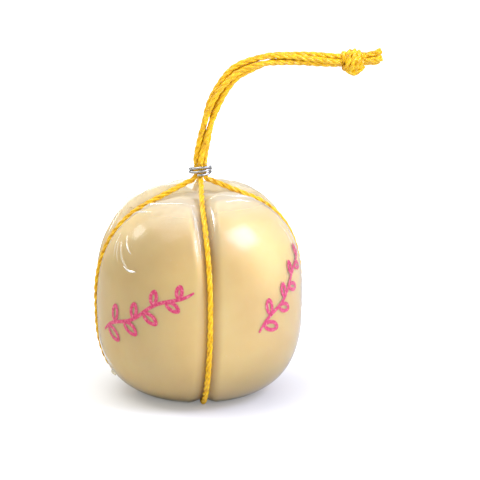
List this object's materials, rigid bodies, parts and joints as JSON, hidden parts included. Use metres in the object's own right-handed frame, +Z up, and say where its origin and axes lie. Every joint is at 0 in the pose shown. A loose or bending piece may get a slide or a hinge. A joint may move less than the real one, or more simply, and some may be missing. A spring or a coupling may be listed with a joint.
{
  "type": "cheese ball in a twine net",
  "caption": "Lobed ball of cheese in clear shrink film, held by a yellow twine net with a wire clip, a short hanging rope and an end knot.",
  "frame": {"origin": "centre of the flat base the ball rests on", "axes": "+Z up through the wire clip, +X to the side the rope bends to, -Y to the front"},
  "size_m": [0.1587, 0.1162, 0.1906],
  "materials": {
    "cheese": "smooth pale rind",
    "film": "clear shrink film",
    "twine": "twisted yellow twine with a slight sheen",
    "wire": "plain galvanised wire"
  },
  "bodies": {
    "root": {"cheese_ball": "cheese", "shrink_bag": "film", "twine_front_back": "twine", "twine_left_right": "twine", "wire_clip": "wire", "rope_strand_right": "twine", "rope_strand_back": "twine", "rope_strand_left": "twine", "rope_strand_front": "twine", "end_knot": "twine", "tail_right": "twine", "tail_back": "twine", "tail_left": "twine", "tail_front": "twine"}
  },
  "joints": []
}
